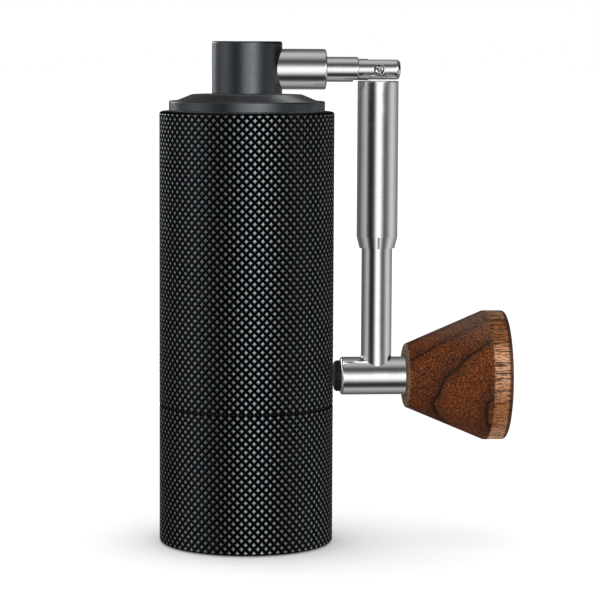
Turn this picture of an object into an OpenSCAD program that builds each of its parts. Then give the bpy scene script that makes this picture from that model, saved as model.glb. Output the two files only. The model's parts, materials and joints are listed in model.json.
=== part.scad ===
// Hand crank coffee grinder with a folding crank arm.
// Millimetres, +Z up. The origin is the centre of the face that the cup stands on.
// The crank arm points along +X, and its outer half hangs folded beside the barrel.

/* [Cup] */
// Diameter over the knurling of the cup and the barrel
body_d = 51; // [50:0.5:60]
// Height of the joint line between the cup and the barrel
joint_z = 40.75; // [38:0.25:60]
// Gap at the joint line
seam = 0.2; // [0.1:0.05:0.6]
// Wall of the cup below its mouth
cup_wall = 2.9; // [2.6:0.1:5]
// Wall of the cup at its mouth
mouth_wall = 2.2; // [1.8:0.1:2.4]
// Floor of the cup
cup_floor = 2.6; // [2:0.1:5]
// Rounding inside the bottom of the cup
cup_round = 3; // [1:0.5:6]
// Rounding of the cup's outer bottom edge
heel_round = 0.8; // [0.3:0.1:1.2]
// Diameter of the rubber foot pad
foot_d = 42; // [30:1:44]
// Thickness of the foot pad
foot_t = 1.2; // [0.8:0.1:2]
// How far the foot pad stands proud of the metal
foot_proud = 0.3; // [0.1:0.1:0.6]

/* [Barrel] */
// Height of the barrel above the joint line
barrel_h = 85.85; // [84:0.05:110]
// Wall of the outer shell
barrel_wall = 4.5; // [4.2:0.1:4.8]
// Wall of the inner barrel
liner_wall = 1; // [0.6:0.1:1.4]
// Rounding of the barrel's top edge
rim_round = 1; // [0.4:0.1:1.5]
// Height of the spigot that enters the cup
spigot_h = 7; // [5:0.5:8]
// Cord diameter of the O-ring on the spigot
cup_seal_t = 1.5; // [1:0.1:1.8]

/* [Grip] */
// Spacing of the main grooves in the knurled grip
grip_pitch = 6; // [5:0.5:8]
// Depth of the main grooves in the knurled grip
grip_depth = 0.5; // [0.3:0.05:0.6]

/* [Burrs] */
// Height of the underside of both burrs
burr_z = 43; // [42.5:0.25:44]
// Wall of the burr holder around the ring burr
holder_wall = 3; // [3:0.05:3.5]
// Height of the ring burr
ring_burr_h = 15; // [13:0.5:17]
// Wall of the ring burr at its underside
burr_wall = 3; // [2.6:0.1:4]
// Wall of the ring burr at its top
burr_top_wall = 4.5; // [3.6:0.1:5.5]
// Half angle of the grinding cone
burr_angle = 25; // [20:1:28]
// Height of the grinding zone, where both cones are parallel
grind_h = 7; // [5:0.5:8]
// Gap between the burrs, square to the cones
burr_gap = 0.42; // [0.38:0.02:0.8]
// Height of the cone burr
cone_h = 17; // [15:0.5:18]
// Diameter of the cone burr's top
cone_top_d = 12; // [9:0.5:14]
// Teeth in the grinding zone of the ring burr
ring_teeth = 36; // [24:1:40]
// Teeth in the grinding zone of the cone burr
cone_teeth = 30; // [20:1:34]
// Breaking flutes around the cone burr
cone_flutes = 6; // [4:1:8]
// Breaking notches around the top of the ring burr
ring_notches = 9; // [6:1:12]
// Depth of a grinding tooth
tooth_depth = 0.7; // [0.4:0.05:0.9]
// Height of the funnel above the ring burr
funnel_h = 5; // [4:0.5:6]
// Diameter of the burr screws
burr_screw_d = 2; // [1.6:0.1:2.2]
// Head diameter of the burr screws
burr_head_d = 3.4; // [3:0.1:3.6]
// Number of burr screws
burr_screws_n = 3; // [2:1:6]

/* [Shaft and bearings] */
// Diameter of the drive shaft
shaft_d = 6; // [5.6:0.1:6.4]
// Outer diameter of the ball bearings
bearing_d = 15; // [14.4:0.1:16]
// Width of the ball bearings
bearing_w = 5; // [4.6:0.1:6]
// Diameter of the bearing balls
ball_d = 2.6; // [2.2:0.1:2.8]
// Balls in each bearing
ball_n = 8; // [6:1:8]
// Height of the lower bearing's centre above the ring burr
low_bearing_up = 13.5; // [12.5:0.5:18]
// Depth of the upper bearing's centre below the barrel's rim
high_bearing_down = 15.1; // [14:0.1:20]
// Wall of a bridge around its bearing
bridge_wall = 2.2; // [1.5:0.1:3]
// Height of a bridge
bridge_h = 7; // [6.5:0.1:9]
// Width of a bridge's arms
bridge_arm_w = 5; // [3:0.5:6]
// Thickness of the circlips
clip_t = 0.8; // [0.5:0.1:1]
// Diameter of the screw thread that the dial turns on
thread_d = 4.8; // [4:0.1:5]
// Wire diameter of the burr spring
burr_spring_wire = 0.8; // [0.5:0.1:1]

/* [Adjusting dial] */
// Diameter of the adjusting dial
dial_d = 22; // [20:0.5:26]
// Thickness of the adjusting dial
dial_t = 4; // [3.5:0.1:5]
// Finger notches around the dial, and clicks in one turn
click_n = 12; // [8:1:16]
// Diameter of the click plate
click_d = 18; // [16:0.5:20]
// Thickness of the click plate
click_t = 1.2; // [1:0.1:1.6]
// Diameter of the detent balls
detent_d = 1.6; // [1.2:0.1:2]

/* [Lid] */
// Diameter of the lid
lid_d = 45.4; // [44:0.2:46]
// Height of the lid's ring
lid_ring_h = 3; // [2.4:0.1:4]
// Height of the lid's cone above its ring
lid_cone_h = 1.9; // [1:0.1:3]
// Diameter at the foot of the cone
cone_foot_d = 41.4; // [38:0.2:42]
// Diameter at the top of the cone
cone_crest_d = 32.1; // [28:0.1:36]
// Thickness of the lid around the hub
lid_wall = 2.6; // [2.2:0.1:3.4]
// Height of the lid's spigot
lid_spigot_h = 6; // [5:0.5:7]
// Cord diameter of the lid's O-ring
lid_seal_t = 1.2; // [0.8:0.1:1.4]

/* [Hub and arm root] */
// Diameter of the hub
hub_d = 20.4; // [19:0.2:24]
// Height of the hub
hub_h = 15.2; // [14.2:0.05:20]
// Height of the arm's axis above the hub's underside
arm_up = 7.15; // [7:0.05:8]
// Diameter of the hub's skirt, which turns in the lid bush
skirt_d = 11; // [10.4:0.1:12]
// Outer diameter of the drive socket
socket_d = 8.8; // [8.2:0.1:9]
// Diameter of the arm root's tube
root_d = 11.8; // [11:0.1:12.4]
// Diameter of the shank inside the hub
shank_d = 8; // [7:0.1:8.4]
// Diameter of the neck behind the clevis
neck_d = 7.28; // [6.6:0.04:7.32]
// Length of the neck
neck_l = 9.4; // [7:0.1:12]
// Diameter of the clevis
clevis_d = 6.2; // [5.2:0.1:6.4]
// Length of the clevis on the neck's side of the hinge pin
clevis_back = 6; // [5.95:0.05:6.1]
// Length of the clevis beyond the hinge pin
clevis_front = 6.35; // [5.8:0.05:6.4]
// Diameter of the hinge pin
pin_d = 2.7; // [2.3:0.1:2.8]
// Width of the clevis slot
slot_w = 2.2; // [1.8:0.1:2.4]

/* [Folding arm] */
// Distance from the hinge pin to the axis of the knob
arm_l = 89.9; // [82:0.1:95]
// Diameter of the arm rod
rod_d = 9; // [8.6:0.1:9.4]
// Diameter of the rod's slim end, inside the sleeve
rod_tip_d = 7.24; // [6.8:0.04:7.24]
// Outer diameter of the lock sleeve
sleeve_d = 12; // [11.4:0.1:12.4]
// Length of the lock sleeve's cylinder
sleeve_l = 45.4; // [42:0.1:48]
// Length of the taper at the sleeve's lower end
taper_l = 3.4; // [2:0.1:5]
// Diameter at the end of the taper
taper_d = 10.36; // [10:0.04:10.8]
// Wire diameter of the sleeve spring
sleeve_spring_wire = 0.7; // [0.5:0.05:0.8]
// Diameter of the cross tube
cross_d = 11.2; // [10.6:0.1:12]
// Length of the cross tube from the rod's axis towards the barrel
cross_back = 10.6; // [9:0.1:14]
// Length of the cross tube from the rod's axis towards the knob
cross_front = 10.1; // [8:0.1:14]
// Diameter of the rubber bumper
bumper_d = 9.1; // [7:0.1:10]
// Thickness of the bumper
bumper_t = 1.9; // [1.4:0.1:4]
// Gap between the bumper and the barrel
bumper_gap = 0.3; // [0.2:0.05:1]

/* [Knob] */
// Diameter of the knob's small end
knob_small_d = 18.4; // [17:0.2:22]
// Diameter of the knob's rim
knob_rim_d = 38.2; // [32:0.2:40]
// Length of the knob's cone
knob_cone_l = 23.4; // [22:0.2:30]
// Length of the knob's rim band
knob_rim_l = 5.5; // [4:0.1:8]
// Height of the dome on the knob's end, with its rounded edge
knob_dome = 1.3; // [1.1:0.1:2]
// How far the cross tube enters the knob's small end
knob_lap = 1.9; // [1:0.1:3]
// Diameter of the knob bolt's shoulder
bolt_d = 6; // [5:0.1:6.6]
// Diameter of the knob bolt's head
bolt_head_d = 10; // [9:0.1:11]
// Outer diameter of the knob bushes
bush_d = 8; // [7.6:0.1:9]

/* [Clearances] */
// Radial clearance of a shaft in its bore
run_fit = 0.06; // [0.04:0.01:0.08]
// Radial clearance of a part that is pushed or slid into another
slide_fit = 0.1; // [0.06:0.01:0.12]
// Gap between flat faces that turn on each other
face_gap = 0.15; // [0.1:0.01:0.2]

/* [Hidden] */
$fn = 96;
coil_steps = 20;      // stations in one turn of a spring
coil_sides = 6;       // sides of a spring's wire
arc_steps = 6;        // chords in a rounded edge
over = 1;             // how far a cutter runs past the face it cuts

// Cup and barrel
body_r = body_d / 2;
mouth_r = body_r - mouth_wall;
cup_r = body_r - cup_wall;
shell_r = body_r - barrel_wall;
liner_r = shell_r - liner_wall;
spigot_r = mouth_r - slide_fit;
barrel_z = joint_z + seam;
spigot_z = joint_z - spigot_h;
ledge_z = spigot_z - seam;
rim_z = joint_z + barrel_h;
cup_seal_r = mouth_r - run_fit - cup_seal_t / 2;
cup_seal_z = spigot_z + spigot_h / 2;

// Grip
grip_n = round(PI * body_d / grip_pitch);

// Burrs
ring_burr_r = shell_r - holder_wall;
ring_burr_top = burr_z + ring_burr_h;
mouth_in_r = ring_burr_r - burr_wall;
grind_r = mouth_in_r - grind_h * tan(burr_angle);
throat_r = ring_burr_r - burr_top_wall;
burr_gap_r = burr_gap / cos(burr_angle);
cone_r = mouth_in_r - burr_gap_r;
cone_grind_r = grind_r - burr_gap_r;
cone_top_z = burr_z + cone_h;
funnel_z = ring_burr_top + funnel_h;
burr_screw_r = ring_burr_r + burr_screw_d / 2 + 0.2;
burr_head_h = 1.2;
burr_screw_l = 8;
tooth_l = (grind_h + 0.6) / cos(burr_angle);
flute_depth = 2.2;
flute_w = 4.4;
notch_depth = 1.2;
notch_w = 3.6;

// Bearings, from the inner ring outwards
shaft_r = shaft_d / 2;
bearing_r = bearing_d / 2;
race_r = (shaft_r + bearing_r) / 2;
land = 0.65;                             // half the space between the two rings
ball_r = ball_d / 2;
groove_r = ball_r + 0.06;
cage_t = 0.8;
cage_h = ball_d + 0.9;
low_z = ring_burr_top + low_bearing_up;
high_z = rim_z - high_bearing_down;
bridge_lip = 1;
lip_r = bearing_r - 1;

// Shaft
hex_r = shaft_r;
hex_fit_r = hex_r + 0.07;
thread_r = thread_d / 2;
hex_foot_z = burr_z - click_t + 0.6;
hex_neck_z = cone_top_z + 2;
clip_depth = 0.5;
clip_r = shaft_r + 1.3;
washer_t = 0.8;
low_clip_z = low_z - bearing_w / 2 - clip_t;
spring_top_z = low_clip_z - washer_t;
burr_spring_r = shaft_r + 1.3;

// Dial
click_z = burr_z - click_t;
dial_top = click_z - face_gap;
dial_z = dial_top - dial_t;
dial_r = dial_d / 2;
detent_r = detent_d / 2;
detent_at = 6.8;
detent_z = click_z - 0.05 - detent_r;
detent_hole = 3;
dial_skirt_wall = 2.6;
dial_skirt_t = 1;
shaft_foot_z = dial_z - 1.5;

// Lid
lid_r = lid_d / 2;
lid_z = rim_z + face_gap;
lid_ring_z = rim_z + lid_ring_h;
lid_top = lid_ring_z + lid_cone_h;
lid_spigot_r = liner_r - slide_fit;
lid_spigot_z = lid_z - lid_spigot_h;
lid_cave_r = lid_spigot_r - 2.2;
ceiling_z = lid_top - lid_wall;
lid_seal_r = liner_r - run_fit - lid_seal_t / 2;
lid_seal_z = lid_z - lid_spigot_h / 2;
lid_bush_wall = 1.1;
flange_t = 0.8;
skirt_r = skirt_d / 2;
bush_in_r = skirt_r + run_fit;
bush_out_r = bush_in_r + lid_bush_wall;
flange_r = bush_out_r + 1.6;

// Hub
hub_r = hub_d / 2;
hub_z = lid_top + face_gap;
hub_top = hub_z + hub_h;
arm_z = hub_z + arm_up;
shank_r = shank_d / 2;
socket_r = socket_d / 2;
socket_top = arm_z - shank_r - 0.9;
shaft_top = socket_top - 0.4;
hub_clip_r = skirt_r + 1.7;
lid_washer_z = ceiling_z - face_gap - washer_t;
hub_clip_z = lid_washer_z - 0.05 - clip_t;
skirt_z = hub_clip_z - 1.5;
hex_z = high_z + bearing_w / 2 + clip_t + 2;

// Arm root, along +X from the hub
cross_x = body_r + bumper_gap + bumper_t;      // barrel end of the cross tube
pin_x = cross_x + cross_back;
root_r = root_d / 2;
seat_x = hub_r * 0.8;
neck_r = neck_d / 2;
clevis_r = clevis_d / 2;
neck_end = pin_x - clevis_back;
root_end = neck_end - neck_l;
clevis_end = pin_x + clevis_front;
clevis_round = 1.2;
slot_start = pin_x - 3.1;
relief_l = 1.5;
shank_x = -4.2;
arm_screw_r = 2;
arm_screw_bite = 2.5;                    // how deep the set screw enters the shank
arm_screw_sunk = 0.8;                    // how far it lies below the hub's surface
pin_r = pin_d / 2;

// Folding arm, as distances below the hinge pin
tongue_t = slot_w - 0.2;
tongue_r = 2.4;
rod_r = rod_d / 2;
rod_tip_r = rod_tip_d / 2;
rod_start = clevis_front + 0.65;
sleeve_r = sleeve_d / 2;
sleeve_start = clevis_r + 0.2;
sleeve_end = sleeve_start + sleeve_l;
taper_r = taper_d / 2;
front_bore_r = rod_tip_r + slide_fit;
rear_bore_r = rod_r + slide_fit;
sleeve_skin = 0.95;
cave_r = sleeve_r - sleeve_skin;
front_land_l = 14;
spring_room_l = 21;
cave_start = sleeve_start + front_land_l;
rod_shoulder = cave_start + spring_room_l;
sleeve_spring_r = (rod_tip_r + cave_r) / 2;
cross_r = cross_d / 2;
cross_end = pin_x + cross_front;
knob_z = arm_z - arm_l;
bumper_r = bumper_d / 2;
bumper_stem_r = 2;
bumper_stem_l = 5;

// Knob, along +X from its small end
knob_x = cross_end - knob_lap;
knob_small_r = knob_small_d / 2;
knob_rim_r = knob_rim_d / 2;
knob_l = knob_cone_l + knob_rim_l;
small_round = 1.1;
rim_edge = 1;                            // rounding of the rim's outer edge
recess_r = cross_r + 0.6;
recess_l = knob_lap + 0.7;
bolt_r = bolt_d / 2;
bolt_head_r = bolt_head_d / 2;
bolt_head_h = 2.4;
bolt_thread_r = bolt_r - 0.5;
bolt_thread_l = 12;
bush_r = bush_d / 2;
bush_l = 6;
head_seat_x = knob_x + knob_l + knob_dome - bolt_head_h - 1.4;

// Shared shapes

// Points of an arc from angle a to angle b
function arc(cx, cy, r, a, b) = [
    for (i = [0 : arc_steps])
        let (t = a + (b - a) * i / arc_steps)
        [cx + r * cos(t), cy + r * sin(t)]
];

// Outline of ring grooves down the grip, evenly spaced between two heights
function grooves(low, high) = [
    for (n = floor((high - low) / grip_pitch), i = [1 : n - 1])
        let (z = low + (high - low) * i / n, root = body_r - grip_depth - 0.1, half = grip_depth)
        each [[body_r, z - half], [root, z - half], [root, z + half], [body_r, z + half]]
];

// Upright grooves around the grip, as cutters
module grip_cuts(low, high) {
    around(grip_n, 180 / grip_n)
        translate([body_r, 0, (low + high) / 2])
            cube([2 * grip_depth, 2 * grip_depth, high - low + 2 * over], center = true);
}

// Solid turned around Z from points [radius, height]
module turned(points) {
    rotate_extrude()
        polygon(points);
}

// Plain ring around Z
module ring(outer, inner, low, high) {
    translate([0, 0, low])
        difference() {
            cylinder(r = outer, h = high - low);
            translate([0, 0, -over])
                cylinder(r = inner, h = high - low + 2 * over);
        }
}

// Hexagonal bar around Z, measured to its corners
module hex_bar(corner_r, low, high) {
    translate([0, 0, low])
        cylinder(r = corner_r, h = high - low, $fn = 6);
}

// O-ring around Z
module o_ring(centre_r, cord, height) {
    translate([0, 0, height])
        rotate_extrude()
            translate([centre_r, 0])
                circle(r = cord / 2, $fn = 32);
}

// Copies spread evenly around Z
module around(count, start = 0) {
    for (i = [0 : count - 1])
        rotate([0, 0, start + i * 360 / count])
            children();
}

// Lays a shape made along +Z on the +X axis at a height
module along_x(x, height) {
    translate([x, 0, height])
        rotate([0, 90, 0])
            children();
}

// Circlip around Z with its gap towards the given angle
module circlip(inner, outer, low, gap, turn) {
    difference() {
        ring(outer, inner, low, low + clip_t);
        rotate([0, 0, turn])
            translate([0, -gap / 2, low - over])
                cube([outer + over, gap, clip_t + 2 * over]);
    }
}

// Coil spring around Z, swept from rings of coil_sides points
module coil(mean_r, wire, low, high, turns) {
    stations = turns * coil_steps;
    rise = high - low - wire;
    points = [
        for (i = [0 : stations], j = [0 : coil_sides - 1])
            let (
                a = 360 * i / coil_steps,
                b = 360 * j / coil_sides,
                r = mean_r + wire / 2 * cos(b),
                z = low + wire / 2 + rise * i / stations + wire / 2 * sin(b)
            )
            [r * cos(a), r * sin(a), z]
    ];
    sides = [
        for (i = [0 : stations - 1], j = [0 : coil_sides - 1])
            let (
                k = (j + 1) % coil_sides,
                p = i * coil_sides,
                q = p + coil_sides
            )
            [p + j, p + k, q + k, q + j]
    ];
    first = [for (j = [0 : coil_sides - 1]) coil_sides - 1 - j];
    last = [for (j = [0 : coil_sides - 1]) stations * coil_sides + j];
    polyhedron(points = points, faces = concat([first], sides, [last]), convexity = 10);
}

// Cup

module grounds_cup() {
    bottom = foot_proud;
    inside = bottom + cup_floor;
    color([0.10, 0.10, 0.11])
        difference() {
            turned(concat(
                [[0, bottom]],
                arc(body_r - heel_round, bottom + heel_round, heel_round, -90, 0),
                grooves(bottom, joint_z),
                [[body_r, joint_z], [mouth_r, joint_z], [mouth_r, ledge_z], [cup_r, ledge_z]],
                arc(cup_r - cup_round, inside + cup_round, cup_round, 0, -90),
                [[0, inside]]
            ));
            translate([0, 0, bottom - over])
                cylinder(d = foot_d, h = foot_t - foot_proud + over);
            grip_cuts(bottom, joint_z);
        }
}

module foot_pad() {
    color([0.06, 0.06, 0.06])
        cylinder(d = foot_d, h = foot_t);
}

// Barrel

module outer_shell() {
    color([0.10, 0.10, 0.11])
        difference() {
            turned(concat(
                [[shell_r, spigot_z], [spigot_r, spigot_z], [spigot_r, barrel_z], [body_r, barrel_z]],
                grooves(barrel_z, rim_z),
                arc(body_r - rim_round, rim_z - rim_round, rim_round, 0, 90),
                [[shell_r, rim_z]]
            ));
            ring(
                body_r, cup_seal_r - cup_seal_t / 2,
                cup_seal_z - cup_seal_t / 2 - 0.1, cup_seal_z + cup_seal_t / 2 + 0.1
            );
            grip_cuts(barrel_z, rim_z);
        }
}

module inner_barrel() {
    color([0.72, 0.72, 0.72])
        ring(shell_r, liner_r, funnel_z, rim_z);
}

module cup_seal() {
    color([0.05, 0.05, 0.05])
        o_ring(cup_seal_r, cup_seal_t, cup_seal_z);
}

module burr_holder() {
    lip_top = ring_burr_top + 0.8;
    color([0.60, 0.61, 0.63])
        difference() {
            turned([
                [ring_burr_r, burr_z], [shell_r, burr_z], [shell_r, funnel_z], [liner_r, funnel_z],
                [throat_r, lip_top], [throat_r, ring_burr_top], [ring_burr_r, ring_burr_top]
            ]);
            around(burr_screws_n, 30)
                translate([burr_screw_r, 0, burr_z - over])
                    cylinder(d = burr_screw_d, h = burr_screw_l + over, $fn = 32);
        }
}

// One straight cut along the cone of a burr, its root turned outwards or inwards
module burr_cut(r, z, length, depth, width, lean, skew) {
    translate([r, 0, z])
        rotate([0, -lean, 0])
            rotate([skew, 0, 0])
                translate([0, 0, -over])
                    linear_extrude(height = length + over)
                        polygon([[-depth, -width], [-depth, width], [depth, width * 0.1]]);
}

module ring_burr() {
    pitch_w = PI * mouth_in_r / ring_teeth;
    notch_lean = atan((throat_r - grind_r) / (ring_burr_h - grind_h));
    color([0.62, 0.62, 0.62])
        difference() {
            turned([
                [mouth_in_r, burr_z], [ring_burr_r, burr_z], [ring_burr_r, ring_burr_top],
                [throat_r, ring_burr_top], [grind_r, burr_z + grind_h]
            ]);
            around(ring_teeth)
                burr_cut(mouth_in_r, burr_z, tooth_l, tooth_depth, pitch_w * 1.5, burr_angle, 8);
            around(ring_notches)
                burr_cut(grind_r, burr_z + grind_h, ring_burr_h, notch_depth, notch_w / 2, -notch_lean, 0);
        }
}

module burr_screws() {
    color([0.70, 0.70, 0.70])
        around(burr_screws_n, 30)
            translate([burr_screw_r, 0, burr_z])
                difference() {
                    union() {
                        cylinder(d = burr_screw_d, h = burr_screw_l - 0.2, $fn = 32);
                        translate([0, 0, -burr_head_h])
                            cylinder(d = burr_head_d, h = burr_head_h, $fn = 48);
                    }
                    translate([0, 0, -burr_head_h - over])
                        cylinder(d = burr_screw_d * 0.8, h = burr_head_h * 0.6 + over, $fn = 6);
                }
}

// Three arms that carry a bearing in a hub; the seat opens downwards, or upwards if flipped
module bridge(centre_z, flipped) {
    hub_out_r = bearing_r + bridge_wall;
    low = -bridge_h / 2;
    translate([0, 0, centre_z])
        mirror([0, 0, flipped ? 1 : 0])
            difference() {
                union() {
                    cylinder(r = hub_out_r, h = bridge_h, center = true);
                    intersection() {
                        cylinder(r = liner_r, h = bridge_h, center = true);
                        around(3, 30)
                            translate([bearing_r + bridge_wall / 2, -bridge_arm_w / 2, low])
                                cube([liner_r, bridge_arm_w, bridge_h]);
                    }
                }
                translate([0, 0, low - over])
                    cylinder(r = bearing_r, h = bridge_h / 2 + bearing_w / 2 + over);
                cylinder(r = lip_r, h = bridge_h);
            }
}

module lower_bridge() {
    color([0.66, 0.66, 0.67])
        bridge(low_z, false);
}

module upper_bridge() {
    color([0.66, 0.66, 0.67])
        bridge(high_z, true);
}

module at_bearings() {
    for (z = [low_z, high_z])
        translate([0, 0, z])
            children();
}

// Track that the balls run in
module race_groove() {
    rotate_extrude()
        translate([race_r, 0])
            circle(r = groove_r, $fn = 48);
}

module bearing_outer_rings() {
    color([0.78, 0.78, 0.80])
        at_bearings()
            difference() {
                ring(bearing_r, race_r + land, -bearing_w / 2, bearing_w / 2);
                race_groove();
            }
}

// Balls

module bearing_balls() {
    color([0.85, 0.85, 0.87])
        at_bearings()
            around(ball_n)
                translate([race_r, 0, 0])
                    sphere(r = ball_r, $fn = 24);
}

module bearing_cages() {
    color([0.80, 0.66, 0.32])
        at_bearings()
            difference() {
                ring(race_r + cage_t / 2, race_r - cage_t / 2, -cage_h / 2, cage_h / 2);
                around(ball_n)
                    along_x(race_r - cage_t, 0)
                        cylinder(r = groove_r, h = 2 * cage_t, $fn = 32);
            }
}

// Shaft

clip_heights = [
    low_clip_z, low_z + bearing_w / 2,
    high_z - bearing_w / 2 - clip_t, high_z + bearing_w / 2
];

module drive_shaft() {
    color([0.75, 0.75, 0.76])
        difference() {
            union() {
                translate([0, 0, shaft_foot_z])
                    cylinder(r = thread_r, h = hex_foot_z - shaft_foot_z);
                hex_bar(hex_r, hex_foot_z, hex_neck_z);
                translate([0, 0, hex_neck_z])
                    cylinder(r = shaft_r, h = hex_z - hex_neck_z);
                hex_bar(hex_r, hex_z, shaft_top);
            }
            for (z = clip_heights)
                ring(shaft_r + over, shaft_r - clip_depth, z, z + clip_t);
        }
}

module bearing_inner_rings() {
    color([0.78, 0.78, 0.80])
        at_bearings()
            difference() {
                ring(race_r - land, shaft_r, -bearing_w / 2, bearing_w / 2);
                race_groove();
            }
}

module shaft_circlips() {
    color([0.35, 0.35, 0.36])
        for (z = clip_heights)
            circlip(shaft_r - clip_depth, clip_r, z, shaft_r, 90);
}

module spring_washer() {
    color([0.75, 0.75, 0.76])
        ring(clip_r + 0.9, shaft_r, spring_top_z, low_clip_z);
}

module burr_spring() {
    color([0.70, 0.70, 0.72])
        coil(burr_spring_r, burr_spring_wire, cone_top_z, spring_top_z, 4);
}

// Inner burr

module cone_burr() {
    pitch_w = PI * cone_r / cone_teeth;
    crest_r = cone_top_d / 2;
    flute_lean = atan((cone_grind_r - crest_r) / (cone_h - grind_h));
    color([0.62, 0.62, 0.62])
        difference() {
            turned([
                [0, burr_z], [cone_r, burr_z], [cone_grind_r, burr_z + grind_h],
                [crest_r, cone_top_z], [0, cone_top_z]
            ]);
            hex_bar(hex_fit_r, burr_z - over, cone_top_z + over);
            around(cone_teeth)
                mirror([0, 1, 0])
                    burr_cut(cone_r, burr_z, tooth_l, -tooth_depth, pitch_w * 1.5, burr_angle, 8);
            around(cone_flutes)
                burr_cut(
                    cone_grind_r, burr_z + grind_h, cone_h,
                    -flute_depth, flute_w / 2, flute_lean, 12
                );
        }
}

module click_plate() {
    color([0.72, 0.72, 0.72])
        difference() {
            translate([0, 0, click_z])
                cylinder(d = click_d, h = click_t);
            hex_bar(hex_fit_r, click_z - over, burr_z + over);
            around(click_n)
                translate([detent_at, 0, click_z - detent_r * 0.6])
                    sphere(r = detent_r, $fn = 24);
        }
}

// Dial

module at_detents() {
    around(2)
        translate([detent_at, 0, 0])
            children();
}

module adjusting_dial() {
    notch_r = 1.8;
    color([0.16, 0.16, 0.17])
        difference() {
            union() {
                translate([0, 0, dial_z + dial_skirt_t])
                    cylinder(r = dial_r, h = dial_t - dial_skirt_t);
                translate([0, 0, dial_z])
                    cylinder(r = thread_r + dial_skirt_wall, h = dial_skirt_t);
            }
            translate([0, 0, dial_z - over])
                cylinder(r = thread_r + run_fit, h = dial_t + 2 * over);
            around(click_n, 15)
                translate([dial_r + notch_r * 0.45, 0, dial_z])
                    cylinder(r = notch_r, h = dial_t + over, $fn = 48);
            at_detents()
                translate([0, 0, dial_top - detent_hole])
                    cylinder(r = detent_r + 0.05, h = detent_hole + over, $fn = 32);
        }
}

module detent_balls() {
    color([0.85, 0.85, 0.87])
        at_detents()
            translate([0, 0, detent_z])
                sphere(r = detent_r, $fn = 24);
}

module detent_springs() {
    wire = 0.2;
    color([0.70, 0.70, 0.72])
        at_detents()
            coil(detent_r - 0.2, wire, dial_top - detent_hole, detent_z - detent_r * 0.8, 4);
}

// Lid

module lid_cover() {
    edge = 0.4;
    color([0.09, 0.09, 0.10])
        difference() {
            turned(concat(
                [[bush_out_r, ceiling_z], [lid_cave_r, ceiling_z], [lid_cave_r, lid_spigot_z]],
                [[lid_spigot_r, lid_spigot_z], [lid_spigot_r, lid_z]],
                arc(lid_r - edge / 2, lid_z + edge / 2, edge / 2, -90, 0),
                arc(lid_r - edge, lid_ring_z - edge, edge, 0, 90),
                [[cone_foot_d / 2, lid_ring_z], [cone_crest_d / 2, lid_top], [flange_r, lid_top]],
                [[flange_r, lid_top - flange_t], [bush_out_r, lid_top - flange_t]]
            ));
            ring(
                liner_r, lid_seal_r - lid_seal_t / 2,
                lid_seal_z - lid_seal_t / 2 - 0.1, lid_seal_z + lid_seal_t / 2 + 0.1
            );
        }
}

module lid_seal() {
    color([0.05, 0.05, 0.05])
        o_ring(lid_seal_r, lid_seal_t, lid_seal_z);
}

module lid_bush() {
    color([0.85, 0.84, 0.80])
        turned([
            [bush_in_r, ceiling_z], [bush_out_r, ceiling_z], [bush_out_r, lid_top - flange_t],
            [flange_r, lid_top - flange_t], [flange_r, lid_top], [bush_in_r, lid_top]
        ]);
}

// Crank

module hub() {
    edge = 0.6;
    foot = 0.3;
    color([0.09, 0.09, 0.10])
        difference() {
            turned(concat(
                [[0, skirt_z], [skirt_r, skirt_z], [skirt_r, hub_z]],
                arc(hub_r - foot, hub_z + foot, foot, -90, 0),
                arc(hub_r - edge, hub_top - edge, edge, 0, 90),
                [[0, hub_top]]
            ));
            translate([0, 0, skirt_z - over])
                cylinder(r = socket_r, h = socket_top - skirt_z + over);
            ring(skirt_r + over, skirt_r - clip_depth, hub_clip_z, hub_clip_z + clip_t);
            along_x(shank_x, arm_z)
                cylinder(r = shank_r, h = hub_r - shank_x);
            along_x(seat_x, arm_z)
                cylinder(r = root_r, h = hub_r);
            at_arm_screw(0)
                cylinder(r = arm_screw_r + 0.1, h = hub_r + over);
        }
}

// Places children along +Y at a distance from the hub's axis, as the arm's set screw lies
module at_arm_screw(y) {
    translate([0, y, arm_z])
        rotate([-90, 0, 0])
            children();
}

module drive_socket() {
    color([0.70, 0.70, 0.71])
        difference() {
            translate([0, 0, skirt_z])
                cylinder(r = socket_r, h = socket_top - skirt_z);
            hex_bar(hex_fit_r, skirt_z - over, socket_top + over);
        }
}

module thrust_washer() {
    color([0.75, 0.75, 0.76])
        ring(hub_clip_r + 0.8, skirt_r, lid_washer_z, lid_washer_z + washer_t);
}

module hub_circlip() {
    color([0.35, 0.35, 0.36])
        circlip(skirt_r - clip_depth, hub_clip_r, hub_clip_z, 4, 0);
}

module arm_root() {
    edge = 0.5;
    neck_foot = 0.3;
    color([0.78, 0.78, 0.78])
        difference() {
            along_x(0, arm_z)
                turned(concat(
                    [[0, shank_x], [shank_r, shank_x], [shank_r, seat_x], [root_r, seat_x]],
                    arc(root_r - edge, root_end - edge, edge, 0, 90),
                    [[neck_r, root_end]],
                    arc(neck_r - neck_foot, neck_end - neck_foot, neck_foot, 0, 90),
                    [[clevis_r, neck_end]],
                    arc(clevis_r - clevis_round, clevis_end - clevis_round, clevis_round, 0, 90),
                    [[0, clevis_end]]
                ));
            at_arm_screw(shank_r - arm_screw_bite)
                cylinder(r = arm_screw_r, h = arm_screw_bite + over);
            translate([slot_start, -slot_w / 2, arm_z - root_r])
                cube([clevis_end, slot_w, 2 * root_r]);
            translate([neck_end - relief_l, -root_r, arm_z - root_r])
                cube([relief_l, 2 * root_r, root_r - clevis_r]);
            translate([pin_x, 0, arm_z])
                rotate([90, 0, 0])
                    cylinder(r = pin_r, h = 4 * clevis_r, center = true, $fn = 48);
            for (side = [-1, 1])
                translate([pin_x, side * (clevis_r + over), arm_z])
                    rotate([side * 90, 0, 0])
                        cylinder(r = pin_r + 0.25, h = over + 0.7, $fn = 48);
        }
}

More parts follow.
